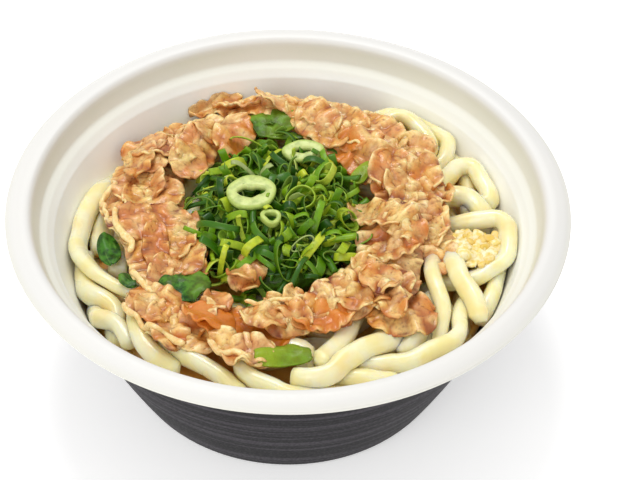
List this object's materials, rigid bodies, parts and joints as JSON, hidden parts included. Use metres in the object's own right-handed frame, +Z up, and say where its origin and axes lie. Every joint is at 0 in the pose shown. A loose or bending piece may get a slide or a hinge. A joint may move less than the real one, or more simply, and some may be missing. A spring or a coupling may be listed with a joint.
{
  "type": "bowl of udon noodles with meat and spring onion",
  "caption": "Take-away bowl of thick udon noodles under a ring of thin simmered meat slices, with a heap of chopped spring onion in the middle.",
  "frame": {"origin": "centre of the bowl's foot, on the surface that it stands on", "axes": "+Z up through the middle of the bowl's mouth; -Y towards the viewer; +X to the viewer's right"},
  "size_m": [0.19, 0.19, 0.074],
  "materials": {
    "bowl": "white foamed sheet inside and on the rim, charcoal outside, satin",
    "noodles": "boiled wheat noodle, cream, moist and slightly translucent",
    "meat": "simmered thin meat, tan with paler fat, moist",
    "onion": "fresh chopped green onion, waxy",
    "onion_ring": "pale onion stem, moist",
    "leaf": "dark green onion leaf, waxy",
    "ginger": "grated ginger, moist and crumbly"
  },
  "bodies": {
    "root": {"bowl": "bowl", "noodles": "noodles", "onion_heap": "onion", "onion_ring_large": "onion_ring", "onion_ring_back": "onion_ring", "leaf_back": "leaf", "leaf_back_strip": "leaf", "leaf_left": "leaf", "leaf_left_front": "leaf", "leaf_left_knot": "leaf", "leaf_front": "leaf", "leaf_inner_strip": "leaf", "leaf_right": "leaf", "ginger": "ginger", "meat_left_outer": "meat", "meat_left_back": "meat", "meat_left_front": "meat", "meat_back_outer": "meat", "meat_back_long": "meat", "meat_back_inner": "meat", "meat_back_curl": "meat", "meat_back_flap": "meat", "meat_right_back": "meat", "meat_right_outer": "meat", "meat_right_tab": "meat", "meat_right_front": "meat", "meat_right_inner": "meat", "meat_front_left": "meat", "meat_front_amber": "meat", "meat_front_fringe": "meat", "meat_front_band": "meat", "meat_inner_fold": "meat"}
  },
  "joints": []
}
